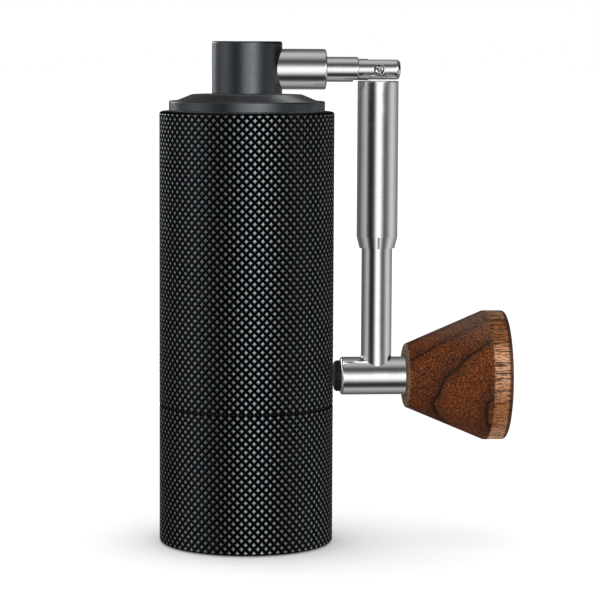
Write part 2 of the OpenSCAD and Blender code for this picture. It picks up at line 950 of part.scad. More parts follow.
module arm_screw() {
    foot_y = shank_r - arm_screw_bite;
    color([0.16, 0.16, 0.17])
        difference() {
            at_arm_screw(foot_y)
                cylinder(r = arm_screw_r, h = hub_r - arm_screw_sunk - foot_y);
            at_arm_screw(hub_r - arm_screw_sunk - arm_screw_r)
                cylinder(r = arm_screw_r * 0.55, h = arm_screw_r + over, $fn = 6);
        }
}

module hinge_pin() {
    color([0.80, 0.80, 0.80])
        translate([pin_x, 0, arm_z])
            rotate([90, 0, 0])
                cylinder(r = pin_r, h = 2 * clevis_r - 0.3, center = true, $fn = 48);
}

// Folding arm

module below_pin(distance) {
    translate([pin_x, 0, arm_z - distance])
        children();
}

module arm_rod() {
    color([0.78, 0.78, 0.78])
        difference() {
            union() {
                below_pin(0)
                    rotate([90, 0, 0])
                        cylinder(r = tongue_r, h = tongue_t, center = true, $fn = 48);
                below_pin(rod_start)
                    translate([-tongue_r, -tongue_t / 2, 0])
                        cube([2 * tongue_r, tongue_t, rod_start]);
                below_pin(rod_shoulder)
                    cylinder(r = rod_tip_r, h = rod_shoulder - rod_start);
                below_pin(arm_l)
                    cylinder(r = rod_r, h = arm_l - rod_shoulder);
            }
            below_pin(0)
                rotate([90, 0, 0])
                    cylinder(r = pin_r + run_fit, h = slot_w, center = true, $fn = 48);
            along_x(pin_x - cross_back, knob_z)
                cylinder(r = cross_r, h = cross_back + cross_front);
        }
}

module cross_tube() {
    edge = 0.6;
    color([0.78, 0.78, 0.78])
        difference() {
            along_x(0, knob_z)
                turned(concat(
                    [[0, cross_x]],
                    arc(cross_r - edge, cross_x + edge, edge, -90, 0),
                    arc(cross_r - edge, cross_end - edge, edge, 0, 90),
                    [[0, cross_end]]
                ));
            along_x(cross_x - over, knob_z)
                cylinder(r = bumper_stem_r, h = bumper_stem_l + over);
            along_x(cross_end - bolt_thread_l, knob_z)
                cylinder(r = bolt_thread_r, h = bolt_thread_l + over);
        }
}

module bumper() {
    color([0.05, 0.05, 0.05])
        along_x(0, knob_z)
            turned(concat(
                [[0, cross_x - bumper_t]],
                arc(bumper_r - bumper_t / 2, cross_x - bumper_t / 2, bumper_t / 2, -90, 0),
                [[bumper_r, cross_x], [bumper_stem_r, cross_x]],
                [[bumper_stem_r, cross_x + bumper_stem_l - 0.3], [0, cross_x + bumper_stem_l - 0.3]]
            ));
}

module sleeve_spring() {
    color([0.70, 0.70, 0.72])
        below_pin(0)
            coil(sleeve_spring_r, sleeve_spring_wire, -rod_shoulder, -cave_start, 9);
}

module knob_bolt() {
    color([0.60, 0.60, 0.61])
        difference() {
            union() {
                along_x(head_seat_x, knob_z)
                    cylinder(r = bolt_head_r, h = bolt_head_h);
                along_x(cross_end, knob_z)
                    cylinder(r = bolt_r, h = head_seat_x - cross_end);
                along_x(cross_end - bolt_thread_l + 0.5, knob_z)
                    cylinder(r = bolt_thread_r, h = bolt_thread_l - 0.5);
            }
            along_x(head_seat_x + bolt_head_h * 0.3, knob_z)
                cylinder(r = bolt_head_r * 0.5, h = bolt_head_h, $fn = 6);
        }
}

module knob_washer() {
    color([0.75, 0.75, 0.76])
        along_x(0, knob_z)
            ring(bolt_head_r, bolt_r, head_seat_x - washer_t, head_seat_x);
}

// Lock sleeve

module lock_sleeve() {
    edge = 0.3;
    color([0.80, 0.80, 0.80])
        below_pin(0)
            turned(concat(
                [[front_bore_r, -sleeve_start]],
                [[front_bore_r, -cave_start], [cave_r, -cave_start], [cave_r, -sleeve_end]],
                [[rear_bore_r, -sleeve_end], [rear_bore_r, -sleeve_end - taper_l]],
                [[taper_r, -sleeve_end - taper_l], [sleeve_r, -sleeve_end]],
                arc(sleeve_r - edge, -sleeve_start - edge, edge, 0, 90)
            ));
}

// Knob

module knob() {
    slope = (knob_rim_r - knob_small_r) / knob_cone_l;
    face_r = knob_small_r - small_round;
    lip_r = knob_small_r + slope * small_round;
    seat = head_seat_x - knob_x - washer_t - face_gap;
    dome_r = knob_rim_r - rim_edge;
    color([0.32, 0.19, 0.11])
        along_x(knob_x, knob_z)
            turned(concat(
                [[recess_r, recess_l], [recess_r, 0]],
                [
                    for (i = [0 : arc_steps])
                        let (t = 90 * i / arc_steps)
                        [face_r + (lip_r - face_r) * sin(t), small_round * (1 - cos(t))]
                ],
                [[knob_rim_r, knob_cone_l]],
                arc(dome_r, knob_l, rim_edge, 0, 90),
                [[bolt_head_r + 0.8, knob_l + knob_dome]],
                [[bolt_head_r + 0.8, seat], [bush_r, seat], [bush_r, recess_l]]
            ));
}

module knob_bushes() {
    near = knob_x + recess_l;
    far = head_seat_x - washer_t - face_gap;
    color([0.78, 0.62, 0.30])
        along_x(0, knob_z) {
            ring(bush_r, bolt_r + run_fit, near, near + bush_l);
            ring(bush_r, bolt_r + run_fit, far - bush_l, far);
        }
}

grounds_cup();
foot_pad();
outer_shell();
inner_barrel();
cup_seal();
burr_holder();
ring_burr();
burr_screws();
lower_bridge();
upper_bridge();
bearing_outer_rings();
bearing_balls();
bearing_cages();
drive_shaft();
bearing_inner_rings();
shaft_circlips();
spring_washer();
burr_spring();
cone_burr();
click_plate();
adjusting_dial();
detent_balls();
detent_springs();
lid_cover();
lid_seal();
lid_bush();
hub();
drive_socket();
thrust_washer();
hub_circlip();
arm_root();
arm_screw();
hinge_pin();
arm_rod();
cross_tube();
bumper();
sleeve_spring();
knob_bolt();
knob_washer();
lock_sleeve();
knob();
knob_bushes();
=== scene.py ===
"""Hand crank coffee grinder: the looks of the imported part, in metres, in the part's own frame."""

import json
import math

import bmesh
import bpy
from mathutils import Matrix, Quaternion, Vector

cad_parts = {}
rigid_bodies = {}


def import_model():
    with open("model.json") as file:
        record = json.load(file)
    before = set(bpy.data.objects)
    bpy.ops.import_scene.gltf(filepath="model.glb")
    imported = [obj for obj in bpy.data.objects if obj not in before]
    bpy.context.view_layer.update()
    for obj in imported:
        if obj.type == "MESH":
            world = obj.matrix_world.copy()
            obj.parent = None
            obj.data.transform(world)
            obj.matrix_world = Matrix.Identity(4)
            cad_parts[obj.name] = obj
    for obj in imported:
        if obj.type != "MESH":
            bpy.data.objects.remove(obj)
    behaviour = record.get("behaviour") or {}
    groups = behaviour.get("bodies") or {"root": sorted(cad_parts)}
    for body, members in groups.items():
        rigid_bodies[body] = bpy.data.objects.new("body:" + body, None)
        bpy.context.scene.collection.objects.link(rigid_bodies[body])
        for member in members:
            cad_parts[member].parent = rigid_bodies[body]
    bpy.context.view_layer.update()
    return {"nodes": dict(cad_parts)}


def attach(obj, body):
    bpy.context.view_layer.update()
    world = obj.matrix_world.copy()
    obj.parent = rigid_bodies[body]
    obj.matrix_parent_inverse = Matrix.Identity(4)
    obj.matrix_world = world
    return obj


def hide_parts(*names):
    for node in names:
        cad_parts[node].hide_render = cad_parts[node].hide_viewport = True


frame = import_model()

MM = 0.001

# Camera
CAMERA_PLACE = (-0.04906, -0.7405, 0.1470)
CAMERA_TURN = 5.0
CAMERA_TILT = 5.81
CAMERA_ROLL = 0.27
CAMERA_LENS = 152.8
SENSOR_WIDTH = 36.0

# Knurl, in millimetres
BODY_R = 25.5
KNURL_N = 67
KNURL_PITCH = 2.43
KNURL_DEPTH = 0.66
TIP_DEPTH = 0.06
WAIST_DEPTH = 0.03
CROSSING_DEPTH = 0.8 * KNURL_DEPTH
# Depths below the tops over which the colour goes from the tops to the painted shade of the pits
TOP_END = 0.06
PIT_START = 0.12
BARREL_ROW = 0.35 * KNURL_PITCH
CUP_ROW = 0.8 * KNURL_PITCH
SEAM_ROUND = 0.4

# One star of the knurl, as shares of its cell
STAR_POINT = 0.26
STAR_WAIST = 0.085

# Barrel, in millimetres
RIM_Z = 126.6
RIM_ROUND = 1.0
BARREL_Z = 40.95
SPIGOT_Z = 33.75
SPIGOT_R = 23.2
SHELL_R = 21.0
GROOVE_R = 21.74
GROOVE_LOW = 36.4
GROOVE_HIGH = 38.1

# Cup, in millimetres
CUP_Z = 0.3
CUP_TOP = 40.75
HEEL_ROUND = 0.8
MOUTH_R = 23.3
LEDGE_Z = 33.55
CUP_R = 22.6
CUP_FLOOR = 2.9
CUP_ROUND = 3.0
FOOT_R = 21.0
FOOT_TOP = 1.2

# Turned pieces: their chamfers in millimetres, the angle in degrees from which an edge stays crisp,
# and the angles at which a rounding is cut
EDGE = 0.2
CREASE = 28
ROUND_CUTS = (90, 60, 35, 15)

# Hinge pin, in millimetres
PIN_PLACE = (38.3, 0.0, 138.8)
PIN_END = 2.95
PIN_SUNK = 0.45
PIN_FLOOR = 0.1
PIN_DENTS_R = (0.38, 0.72)
PIN_HEAD_DROP = 0.06
PIN_HEAD_R = 1.12
PIN_RING_R = 1.55
PIN_DENT = 0.09
PIN_SIDES = 14


# Small helpers


class Tree:
    """Adds nodes to a material or world, and joins them."""

    def __init__(self, owner):
        owner.use_nodes = True
        self.nodes = owner.node_tree.nodes
        self.links = owner.node_tree.links
        self.nodes.clear()

    def feed(self, socket, value):
        """Links a socket into another one, or sets the value there."""
        if isinstance(value, bpy.types.NodeSocket):
            self.links.new(value, socket)
        else:
            socket.default_value = value

    def add(self, kind, inputs=None, **settings):
        """Makes one node, with its settings and inputs."""
        node = self.nodes.new(kind)
        for name, value in settings.items():
            setattr(node, name, value)
        for key, value in (inputs or {}).items():
            self.feed(node.inputs[key], value)
        return node

    def math(self, operation, *values):
        node = self.add("ShaderNodeMath", operation=operation)
        for socket, value in zip(node.inputs, values):
            self.feed(socket, value)
        return node.outputs[0]

    def ramp(self, factor, stops):
        """A colour ramp with (place, colour) stops."""
        node = self.add("ShaderNodeValToRGB", {"Fac": factor})
        elements = node.color_ramp.elements
        while len(elements) < len(stops):
            elements.new(1.0)
        for element, (place, colour) in zip(elements, stops):
            element.position = place
            element.color = as_colour(colour)
        return node.outputs["Color"]

    def mix(self, factor, first, second, blend="MIX"):
        node = self.add("ShaderNodeMix", data_type="RGBA", blend_type=blend)
        self.feed(node.inputs["Factor"], factor)
        for name, value in (("A", first), ("B", second)):
            socket = [s for s in node.inputs if s.name == name and s.type == "RGBA"][0]
            self.feed(socket, value if isinstance(value, bpy.types.NodeSocket) else as_colour(value))
        return [s for s in node.outputs if s.type == "RGBA"][0]

    def fit(self, value, low, high, new_low, new_high):
        """Maps a value from one range on to another, clamped."""
        inputs = {"Value": value, "From Min": low, "From Max": high, "To Min": new_low, "To Max": new_high}
        return self.add("ShaderNodeMapRange", inputs).outputs["Result"]

    def place(self, scale=(1, 1, 1), shift=(0, 0, 0)):
        """The part's own coordinates in millimetres, stretched and shifted."""
        coords = self.add("ShaderNodeTexCoord").outputs["Object"]
        node = self.add("ShaderNodeMapping", {"Vector": coords})
        node.inputs["Location"].default_value = shift
        node.inputs["Scale"].default_value = [1000 * s for s in scale]
        return node.outputs["Vector"]

    def noise(self, vector, scale, detail=2.0, roughness=0.5):
        inputs = {"Vector": vector, "Scale": scale, "Detail": detail, "Roughness": roughness}
        node = self.add("ShaderNodeTexNoise", inputs)
        return node.outputs["Fac"]

    def bump(self, height, strength, distance):
        """A bump from a height, its distance in millimetres."""
        inputs = {"Height": height, "Strength": strength, "Distance": distance * MM}
        return self.add("ShaderNodeBump", inputs).outputs["Normal"]

    def length(self, vector, along):
        """The length of a vector, of which only the named directions count."""
        part = self.add("ShaderNodeVectorMath", {0: vector, 1: along}, operation="MULTIPLY")
        node = self.add("ShaderNodeVectorMath", {0: part.outputs["Vector"]}, operation="LENGTH")
        return node.outputs["Value"]


def as_colour(value):
    """A grey level, or red, green and blue, as a full colour."""
    if isinstance(value, (int, float)):
        value = (value, value, value)
    return (*value, 1.0)


def principled(name, inputs):
    """A material with one principled shader, and its tree."""
    material = bpy.data.materials.new(name)
    tree = Tree(material)
    shader = tree.add("ShaderNodeBsdfPrincipled", inputs)
    output = tree.add("ShaderNodeOutputMaterial")
    tree.links.new(shader.outputs["BSDF"], output.inputs["Surface"])
    return material, tree, shader


def join(tree, shader, colour=None, roughness=None, normal=None):
    """Feeds the worked-out parts of a finish to its shader."""
    for name, value in (("Base Color", colour), ("Roughness", roughness), ("Normal", normal)):
        if value is not None:
            tree.feed(shader.inputs[name], value)


# Finishes: noise scales are per millimetre

LIGHT_SPOT = 1.35
# Painted shade in the knurl's pits: the share of the edge tint that they keep
PIT_PAINTED_SHADE_TINT = 0.35


def anodised(name, shade, pit_painted_shade, roughness):
    """Fine-blasted black anodised aluminium; given a pit colour, the knurl's pits get painted shade: that
    darker colour and a dimmed edge tint.
    """
    material, tree, shader = principled(name, {"Metallic": 1.0})
    spots = tree.noise(tree.place(), 4.5, 3.0, 0.6)
    cloud = tree.noise(tree.place(), 0.12, 2.0)
    light = [LIGHT_SPOT * c for c in shade]
    colour = tree.mix(tree.fit(spots, 0.35, 0.75, 0.0, 1.0), shade, light)
    if pit_painted_shade:
        # Painted shade: deeper into the pits, the colour goes to the pit colour and the edge tint drops
        radius = tree.length(tree.place(), (1, 1, 0))
        top = tree.fit(radius, BODY_R - PIT_START, BODY_R - TOP_END, 0.0, 1.0)
        colour = tree.mix(top, pit_painted_shade, colour)
        tree.feed(shader.inputs["Specular Tint"], tree.mix(top, PIT_PAINTED_SHADE_TINT, 1.0))
    rough = tree.math("ADD", tree.fit(spots, 0.3, 0.7, *roughness), tree.fit(cloud, 0.3, 0.7, -0.03, 0.03))
    grain = tree.noise(tree.place(), 6.0, 2.0, 0.7)
    join(tree, shader, colour, rough, tree.bump(grain, 0.45, 0.04))
    return material


def turned_metal(name, colour, stretch, roughness=(0.05, 0.11), lines=0.05):
    """Turned metal: fine lines run round the axis that stretch names by its large value."""
    material, tree, shader = principled(name, {"Metallic": 1.0})
    marks = tree.noise(tree.place(stretch), 1.0, 4.0, 0.65)
    cloud = tree.noise(tree.place(), 0.25, 2.0)
    darker = [0.9 * c for c in colour]
    tint = tree.mix(tree.fit(marks, 0.35, 0.65, 0.0, 1.0), darker, colour)
    rough = tree.math(
        "ADD", tree.fit(marks, 0.3, 0.7, *roughness), tree.fit(cloud, 0.3, 0.7, -0.02, 0.02)
    )
    join(tree, shader, tint, rough, tree.bump(marks, lines, 0.02))
    return material


def polymer(name, shade, roughness=0.45):
    """A plain plastic with faint mottling."""
    material, tree, shader = principled(name, {})
    cloud = tree.noise(tree.place(), 0.8, 3.0)
    grain = tree.noise(tree.place(), 9.0, 2.0)
    colour = tree.mix(tree.fit(cloud, 0.3, 0.7, 0.0, 1.0), [0.88 * c for c in shade], shade)
    rough = tree.fit(cloud, 0.3, 0.7, roughness - 0.05, roughness + 0.05)
    join(tree, shader, colour, rough, tree.bump(grain, 0.2, 0.02))
    return material


def rubber(name):
    """Matte black rubber with a fine moulded grain and a little dust."""
    material, tree, shader = principled(name, {"Specular IOR Level": 0.35})
    cloud = tree.noise(tree.place(), 0.6, 3.0, 0.6)
    grain = tree.noise(tree.place(), 6.0, 3.0)
    colour = tree.mix(tree.fit(cloud, 0.4, 0.75, 0.0, 1.0), (0.004, 0.004, 0.004), (0.010, 0.010, 0.010))
    join(tree, shader, colour, tree.fit(cloud, 0.3, 0.7, 0.55, 0.7), tree.bump(grain, 0.4, 0.05))
    return material


# Growth rings of the knob's wood, in millimetres: their centre line lies along X behind the knob
RING_CENTRE = (0.0, 20.0, 59.9)
RING_FIRST = 28.8
RING_STEP = 6.4
RING_WARP = 2.2

# The knob's ends along X, in millimetres
KNOB_START = 46.5
RIM_START = 70.8
RIM_END = 75.3
KNOB_END = 76.7

# Wood colours
LATE_WOOD = (0.016, 0.006, 0.003)
EARLY_WOOD = (0.140, 0.032, 0.006)
BLOTCH = (0.040, 0.013, 0.006)
FLECK = (0.42, 0.115, 0.020)
# Painted sheen: the paler, greyer colour of the cone's upper side
TOP_PAINTED_SHEEN = (0.16, 0.105, 0.070)
SMALL_END = (0.30, 0.19, 0.12)
PORE = (0.014, 0.006, 0.004)
# Painted shade: the dark line at the rim's outer edge and the knob's end
END_PAINTED_SHADE = (0.020, 0.008, 0.005)

# How light the wood is across one ring
ONE_RING = [(0.0, 0.0), (0.02, 0.1), (0.05, 0.7), (0.3, 1.0), (0.7, 0.8), (0.93, 0.5), (1.0, 0.0)]
# The rim's colours across four rings: paler than the cone as painted light on the rim, over the rings' own
# bands
RIM_RINGS = (-1.0, 3.0)
RIM_PAINTED_LIGHT_COLOURS = [
    (0.0, (0.26, 0.16, 0.09)), (0.24, (0.30, 0.13, 0.05)), (0.27, (0.10, 0.03, 0.012)),
    (0.30, (0.25, 0.085, 0.020)), (0.48, (0.31, 0.105, 0.026)), (0.51, (0.40, 0.16, 0.06)),
    (0.60, (0.66, 0.34, 0.19)), (0.70, (0.60, 0.30, 0.16)), (0.76, (0.34, 0.13, 0.045)),
    (1.0, (0.20, 0.085, 0.030)),
]
# How strong the dark line of painted shade is from the rim's outer edge to the knob's end
PAINTED_SHADE_FADE_TO_END = [(0.0, 0.0), (0.18, 0.8), (0.85, 0.8), (0.98, 0.0)]


def growth_rings(tree):
    """The number of rings from the first one, slightly wavy."""
    waves = tree.math("SUBTRACT", tree.noise(tree.place((0.8, 1, 1)), 0.10, 3.0, 0.55), 0.5)
    distance = tree.length(tree.place(shift=[-c for c in RING_CENTRE]), (0, 1, 1))
    radius = tree.math("ADD", distance, tree.math("MULTIPLY", waves, RING_WARP))
    return tree.math("DIVIDE", tree.math("SUBTRACT", radius, RING_FIRST), RING_STEP)


def walnut_sides(tree, rings, height):
    """The cone's wood: dark late wood, blotches, orange flecks and a paler upper side that is painted
    sheen.
    """
    light = tree.ramp(tree.math("FRACT", tree.math("ADD", rings, 10.0)), ONE_RING)
    wood = tree.mix(light, LATE_WOOD, EARLY_WOOD)
    blotches = tree.noise(tree.place((0.5, 1, 1)), 0.16, 3.0, 0.6)
    wood = tree.mix(tree.fit(blotches, 0.42, 0.66, 0.0, 0.7), wood, BLOTCH)
    flecks = tree.noise(tree.place((1.8, 3.4, 3.4), shift=(7, 3, 5)), 1.0, 1.0, 0.6)
    wood = tree.mix(tree.math("MULTIPLY", tree.fit(flecks, 0.50, 0.66, 0.0, 0.75), light), wood, FLECK)
    # Painted sheen: the upper side turns paler and greyer
    painted_sheen = tree.fit(tree.math("SUBTRACT", RING_CENTRE[2] - 11.0, height), -17.0, -9.5, 0.75, 0.0)
    return tree.mix(tree.math("MULTIPLY", painted_sheen, 0.8), wood, TOP_PAINTED_SHEEN)


def walnut(name):
    """Oiled walnut: growth rings behind the knob, pores along it, a paler small end, a rim made paler with
    painted light, and painted shade at the knob's end.
    """
    material, tree, shader = principled(name, {"Specular IOR Level": 0.15})
    places = tree.add("ShaderNodeSeparateXYZ", {"Vector": tree.place()}).outputs
    rings = growth_rings(tree)
    wood = walnut_sides(tree, rings, places["Z"])
    # Painted light: past the rim's start the wood takes the rim's paler colours
    jagged = tree.math("ADD", places["X"], tree.noise(tree.place((0.1, 0.9, 0.9)), 1.0, 2.0))
    rim = tree.fit(jagged, RIM_START + 0.3, RIM_START + 0.7, 0.0, 1.0)
    wood = tree.mix(rim, wood, tree.ramp(tree.fit(rings, *RIM_RINGS, 0.0, 1.0), RIM_PAINTED_LIGHT_COLOURS))
    small_end = tree.fit(places["X"], KNOB_START + 0.5, KNOB_START + 1.0, 0.8, 0.0)
    wood = tree.mix(small_end, wood, SMALL_END)
    pores = tree.noise(tree.place((0.7, 3.4, 3.4)), 1.0, 2.0, 0.6)
    strokes = tree.noise(tree.place((0.08, 2.2, 2.2), shift=(3, 9, 1)), 1.0, 1.0, 0.5)
    stroke = tree.math("MULTIPLY", tree.fit(strokes, 0.36, 0.42, 0.9, 0.0), rim)
    pore = tree.math("MAXIMUM", tree.fit(pores, 0.40, 0.50, 0.9, 0.0), stroke)
    wood = tree.mix(pore, wood, PORE)
    # Painted shade: a dark line from the rim's outer edge to the knob's end
    to_end = tree.fit(places["X"], RIM_END - 0.3, KNOB_END, 0.0, 1.0)
    wood = tree.mix(tree.ramp(to_end, PAINTED_SHADE_FADE_TO_END), wood, END_PAINTED_SHADE)
    rough = tree.fit(pores, 0.35, 0.65, 0.7, 0.5)
    join(tree, shader, wood, rough, tree.bump(pores, 0.4, 0.08))
    return material


# How finishes stretch their turning lines, for pieces turned round Z and round X
ROUND_Z = (0.15, 0.15, 9.0)
ROUND_X = (9.0, 0.15, 0.15)
STEEL = (0.80, 0.80, 0.79)
KNURL_TOP = (0.265, 0.285, 0.300)
# Painted shade: the colour of the knurl's pits
KNURL_PIT_PAINTED_SHADE = (0.013, 0.015, 0.017)
SATIN = (0.096, 0.105, 0.115)


def make_finishes():
    """Every finish, by the name of the record's material slot."""
    return {
        "knurled_black": anodised("knurled_black", KNURL_TOP, KNURL_PIT_PAINTED_SHADE, (0.27, 0.36)),
        "satin_black": anodised("satin_black", SATIN, None, (0.25, 0.33)),
        "polished_steel": turned_metal("polished_steel", STEEL, ROUND_Z),
        "polished_steel_x": turned_metal("polished_steel_x", STEEL, ROUND_X),
        "machined_steel": turned_metal("machined_steel", (0.56, 0.56, 0.55), ROUND_Z, (0.24, 0.36), 0.2),
        "burr_steel": turned_metal("burr_steel", (0.50, 0.49, 0.48), (2, 2, 2), (0.22, 0.36), 0.2),
        "spring_steel": turned_metal("spring_steel", (0.60, 0.60, 0.60), (3, 3, 3), (0.2, 0.3), 0.1),
        "black_steel": turned_metal("black_steel", (0.045, 0.045, 0.048), (3, 3, 3), (0.35, 0.5), 0.2),
        "holder_aluminium": turned_metal("holder_aluminium", (0.66, 0.67, 0.68), ROUND_Z, (0.3, 0.42), 0.2),
        "brass": turned_metal("brass", (0.78, 0.56, 0.25), ROUND_Z, (0.22, 0.34), 0.15),
        "white_polymer": polymer("white_polymer", (0.72, 0.71, 0.68)),
        "black_rubber": rubber("black_rubber"),
        "walnut": walnut("walnut"),
    }


# Pieces that are turned round X
ALONG_X = ("arm_root", "cross_tube", "knob_bolt", "knob_washer", "arm_screw")


def dress_nodes(finishes):
    """Gives every CAD node its finish; tubes that lie along X get lines that run round X."""
    for name, node in frame["nodes"].items():
        for slot in node.material_slots:
            kind = slot.material.name.split(".")[0]
            if name in ALONG_X and kind + "_x" in finishes:
                kind += "_x"
            slot.material = finishes[kind]


# Knurled pieces


def knurl_lattice(low, high, first_row):
    """The knurl as a flat lattice: points (turns, rows, depth) and faces, past both limits."""
    points = []
    faces = []
    shared = {}

    def own(u, v, depth):
        points.append((u, v, depth))
        return len(points) - 1

    def common(u, v, depth):
        key = (round(4 * u) % (4 * KNURL_N), round(4 * v))
        if key not in shared:
            shared[key] = own(u, v, depth)
        return shared[key]

    first = math.floor((low - first_row) / KNURL_PITCH) - 1
    last = math.ceil((high - first_row) / KNURL_PITCH) + 1
    for row in range(first, last + 1):
        for column in range(KNURL_N):
            for half in (0.0, 0.5):
                u, v = column + half, row + half
                middle = own(u, v, 0.0)
                tips = []
                waists = []
                pits = []
                crossings = []
                for quarter in range(4):
                    c = round(math.cos(quarter * math.pi / 2))
                    s = round(math.sin(quarter * math.pi / 2))
                    tips.append(own(u + STAR_POINT * c, v + STAR_POINT * s, TIP_DEPTH))
                    waists.append(own(u + STAR_WAIST * (c - s), v + STAR_WAIST * (s + c), WAIST_DEPTH))
                    crossings.append(common(u + 0.5 * c, v + 0.5 * s, CROSSING_DEPTH))
                    pits.append(common(u + 0.25 * (c - s), v + 0.25 * (s + c), KNURL_DEPTH))
                for k in range(4):
                    n = (k + 1) % 4
                    faces.append((middle, tips[k], waists[k]))
                    faces.append((middle, waists[k], tips[n]))
                    faces.append((tips[k], crossings[k], pits[k]))
                    faces.append((tips[k], pits[k], waists[k]))
                    faces.append((waists[k], pits[k], tips[n]))
                    faces.append((tips[n], pits[k], crossings[n]))
    return points, faces


def pulled_in(z, edge, size):
    """How far a rounding of this size at an edge draws the surface in at height z."""
    rise = size - min(abs(z - edge), size)
    return size - math.sqrt(size * size - rise * rise)


def knurl_skin(low, high, first_row, low_round, high_round):
    """An open knurled sleeve in millimetres, cut at both ends and rounded off there."""
    points, faces = knurl_lattice(low, high, first_row)
    bm = bmesh.new()
    verts = []
    for u, v, depth in points:
        angle = math.tau * u / KNURL_N
        r = BODY_R - depth
        verts.append(bm.verts.new((r * math.cos(angle), r * math.sin(angle), first_row + v * KNURL_PITCH)))
    for face in faces:
        bm.faces.new([verts[i] for i in face])
    levels = []
    for edge, size, inward in ((low, low_round, 1), (high, high_round, -1)):
        for turn in ROUND_CUTS:
            levels.append(edge + inward * size * (1 - math.cos(math.radians(turn))))
    for level in levels:
        cut(bm, level)
    cut(bm, low, below=True)
    cut(bm, high, above=True)
    for vert in bm.verts:
        z = vert.co.z
        most = BODY_R - max(pulled_in(z, low, low_round), pulled_in(z, high, high_round))
        r = math.hypot(vert.co.x, vert.co.y)
        if r > most:
            vert.co.x *= most / r
            vert.co.y *= most / r
    return bm


def cut(bm, level, below=False, above=False):
    """Cuts a mesh at a height, and clears what lies below or above it."""
    geometry = bm.verts[:] + bm.edges[:] + bm.faces[:]
    bmesh.ops.bisect_plane(
        bm, geom=geometry, dist=1e-5, plane_co=(0, 0, level), plane_no=(0, 0, 1),
        clear_inner=below, clear_outer=above,
    )


def open_loop(bm, level):
    """The open edges that lie at one height."""
    return [
        e for e in bm.edges
        if e.is_boundary and all(abs(v.co.z - level) < 1e-3 for v in e.verts)
    ]


def extend(bm, loop, outline):
    """Carries an open loop on through (radius, height) points, as a turned surface."""
    for radius, height in outline:
        made = bmesh.ops.extrude_edge_only(bm, edges=loop)["geom"]
        verts = [g for g in made if isinstance(g, bmesh.types.BMVert)]
        loop = [g for g in made if isinstance(g, bmesh.types.BMEdge)]
        for vert in verts:
            r = math.hypot(vert.co.x, vert.co.y)
            vert.co.x *= radius / r
            vert.co.y *= radius / r
            vert.co.z = height
    return loop


def close_at_axis(bm, loop, height):
    """Closes a loop with a fan to a point on the axis."""
    made = bmesh.ops.extrude_edge_only(bm, edges=loop)["geom"]
    verts = [g for g in made if isinstance(g, bmesh.types.BMVert)]
    bmesh.ops.pointmerge(bm, verts=verts, merge_co=(0, 0, height))


def finish_mesh(bm, name, material):
    """A bmesh in millimetres as an object in metres: facets stay crisp, turned faces are smooth."""
    bmesh.ops.recalc_face_normals(bm, faces=bm.faces[:])
    for face in bm.faces:
        face.smooth = len(face.verts) == 4
    for edge in bm.edges:
        edge.smooth = len(edge.link_faces) == 2 and edge.calc_face_angle(0.0) < math.radians(CREASE)
    bmesh.ops.scale(bm, vec=(MM, MM, MM), verts=bm.verts[:])
    mesh = bpy.data.meshes.new(name)
    bm.to_mesh(mesh)
    bm.free()
    mesh.materials.append(material)
    piece = bpy.data.objects.new(name, mesh)
    bpy.context.scene.collection.objects.link(piece)
    return piece


def arc(centre_r, centre_z, radius, start, end, steps=6):
    """Points of a round stretch, between two angles in degrees."""
    turns = [math.radians(start + (end - start) * i / steps) for i in range(steps + 1)]
    return [(centre_r + radius * math.cos(a), centre_z + radius * math.sin(a)) for a in turns]


def make_barrel(material):
    """The knurled outer shell with its bore, spigot and O-ring groove."""
    bm = knurl_skin(BARREL_Z, RIM_Z, RIM_Z - BARREL_ROW, SEAM_ROUND, RIM_ROUND)
    bore = extend(
        bm,
        open_loop(bm, RIM_Z),
        [
            (SHELL_R + EDGE, RIM_Z), (SHELL_R, RIM_Z - EDGE), (SHELL_R, SPIGOT_Z + EDGE),
            (SHELL_R + EDGE, SPIGOT_Z), (SPIGOT_R - EDGE, SPIGOT_Z), (SPIGOT_R, SPIGOT_Z + EDGE),
            (SPIGOT_R, GROOVE_LOW), (GROOVE_R, GROOVE_LOW), (GROOVE_R, GROOVE_HIGH),
            (SPIGOT_R, GROOVE_HIGH), (SPIGOT_R, BARREL_Z),
        ],
    )
    outer = [e for e in open_loop(bm, BARREL_Z) if e not in set(bore)]
    bmesh.ops.bridge_loops(bm, edges=bore + outer)
    return finish_mesh(bm, "knurled_shell", material)


def make_cup(material):
    """The knurled grounds cup."""
    bm = knurl_skin(CUP_Z, CUP_TOP, CUP_TOP - CUP_ROW, HEEL_ROUND, SEAM_ROUND)
    foot = extend(
        bm, open_loop(bm, CUP_Z), [(FOOT_R + EDGE, CUP_Z), (FOOT_R, CUP_Z + EDGE), (FOOT_R, FOOT_TOP)]
    )
    close_at_axis(bm, foot, FOOT_TOP)
    inside = extend(
        bm,
        open_loop(bm, CUP_TOP),
        [(MOUTH_R + EDGE, CUP_TOP), (MOUTH_R, CUP_TOP - EDGE), (MOUTH_R, LEDGE_Z), (CUP_R + EDGE, LEDGE_Z)]
        + [(CUP_R, LEDGE_Z - EDGE)]
        + arc(CUP_R - CUP_ROUND, CUP_FLOOR + CUP_ROUND, CUP_ROUND, 0, -90),
    )
    close_at_axis(bm, inside, CUP_FLOOR)
    return finish_mesh(bm, "knurled_cup", material)


